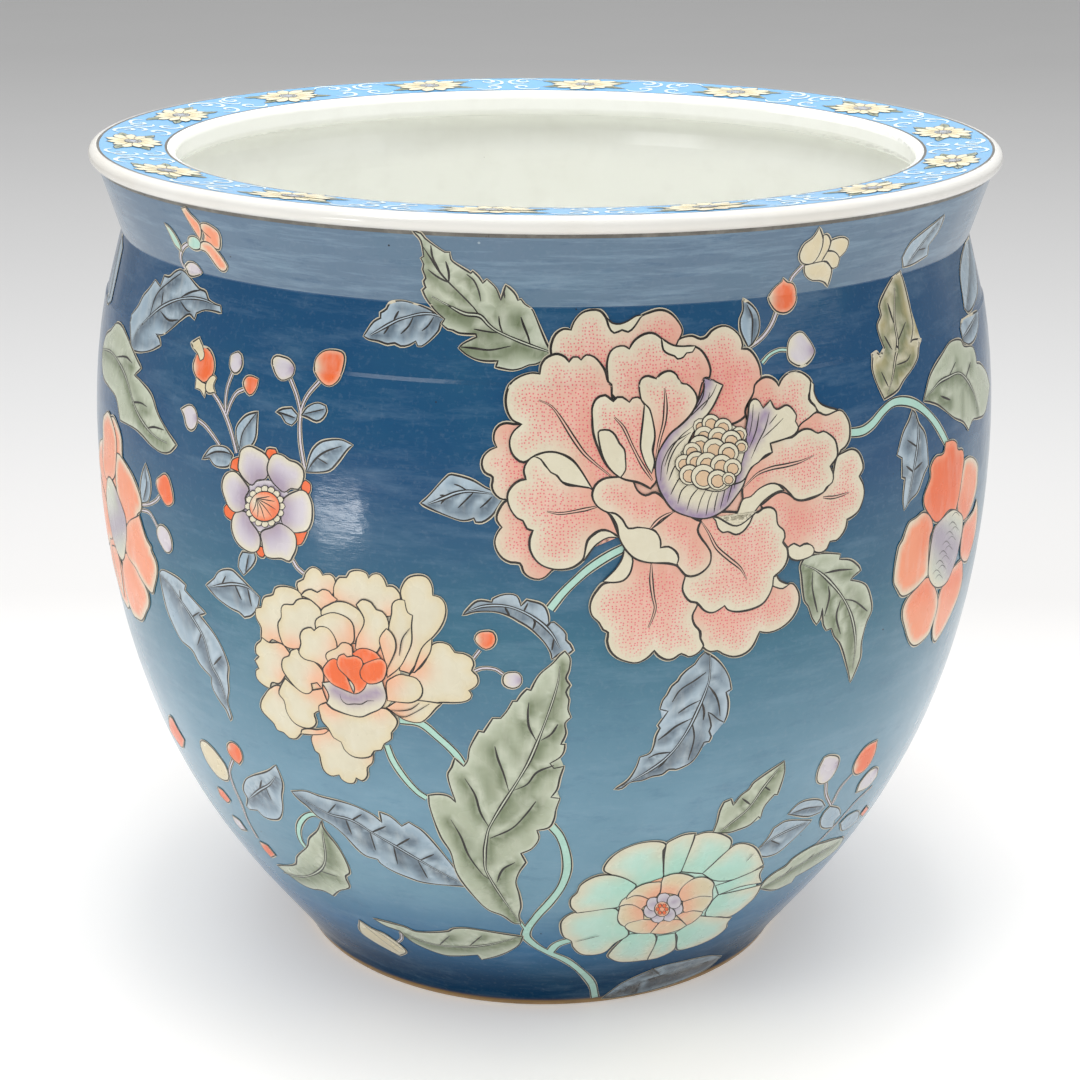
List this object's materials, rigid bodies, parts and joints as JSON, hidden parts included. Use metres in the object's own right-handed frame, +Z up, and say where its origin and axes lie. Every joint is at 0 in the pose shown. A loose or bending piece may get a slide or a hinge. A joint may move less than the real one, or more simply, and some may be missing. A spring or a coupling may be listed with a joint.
{
  "type": "jardiniere",
  "caption": "Round deep porcelain jardiniere of fish-bowl form: swelling body on a small foot ring, waisted neck and a broad flat rim with a rolled lip, enamelled with flowers.",
  "frame": {"origin": "on the table, in the middle of the foot ring's face", "axes": "+Z up along the axis of the bowl; the main painted side faces -Y"},
  "size_m": [0.4654, 0.4654, 0.4267],
  "materials": {
    "bisque": "unglazed fired porcelain clay, matt, cream to tan",
    "slip": "fired luting slip in the joints between the clay sections",
    "foot_gilding": "worn gold-brown line on the foot",
    "blue_ground": "deep blue glossy enamel over glaze, with painted flowers and leaves",
    "dark_line": "thin brown-black enamel line, glossy",
    "white_glaze": "warm white glossy glaze",
    "rim_blue": "pale blue glossy enamel with small flowers and white scrolls",
    "lining_white": "pale grey-green white glossy glaze"
  },
  "bodies": {
    "root": {"foot_ring": "bisque", "base_slab": "bisque", "lower_wall": "bisque", "middle_wall": "bisque", "upper_wall": "bisque", "shoulder_wall": "bisque", "neck_wall": "bisque", "rim_flange": "bisque", "luting_slip": "slip", "foot_gilding": "foot_gilding", "body_ground_enamel": "blue_ground", "shoulder_ground_enamel": "blue_ground", "neck_ground_enamel": "blue_ground", "neck_line": "dark_line", "lip_glaze": "white_glaze", "rim_outer_line": "dark_line", "rim_band_enamel": "rim_blue", "mouth_line": "dark_line", "lining_glaze": "lining_white"}
  },
  "joints": []
}
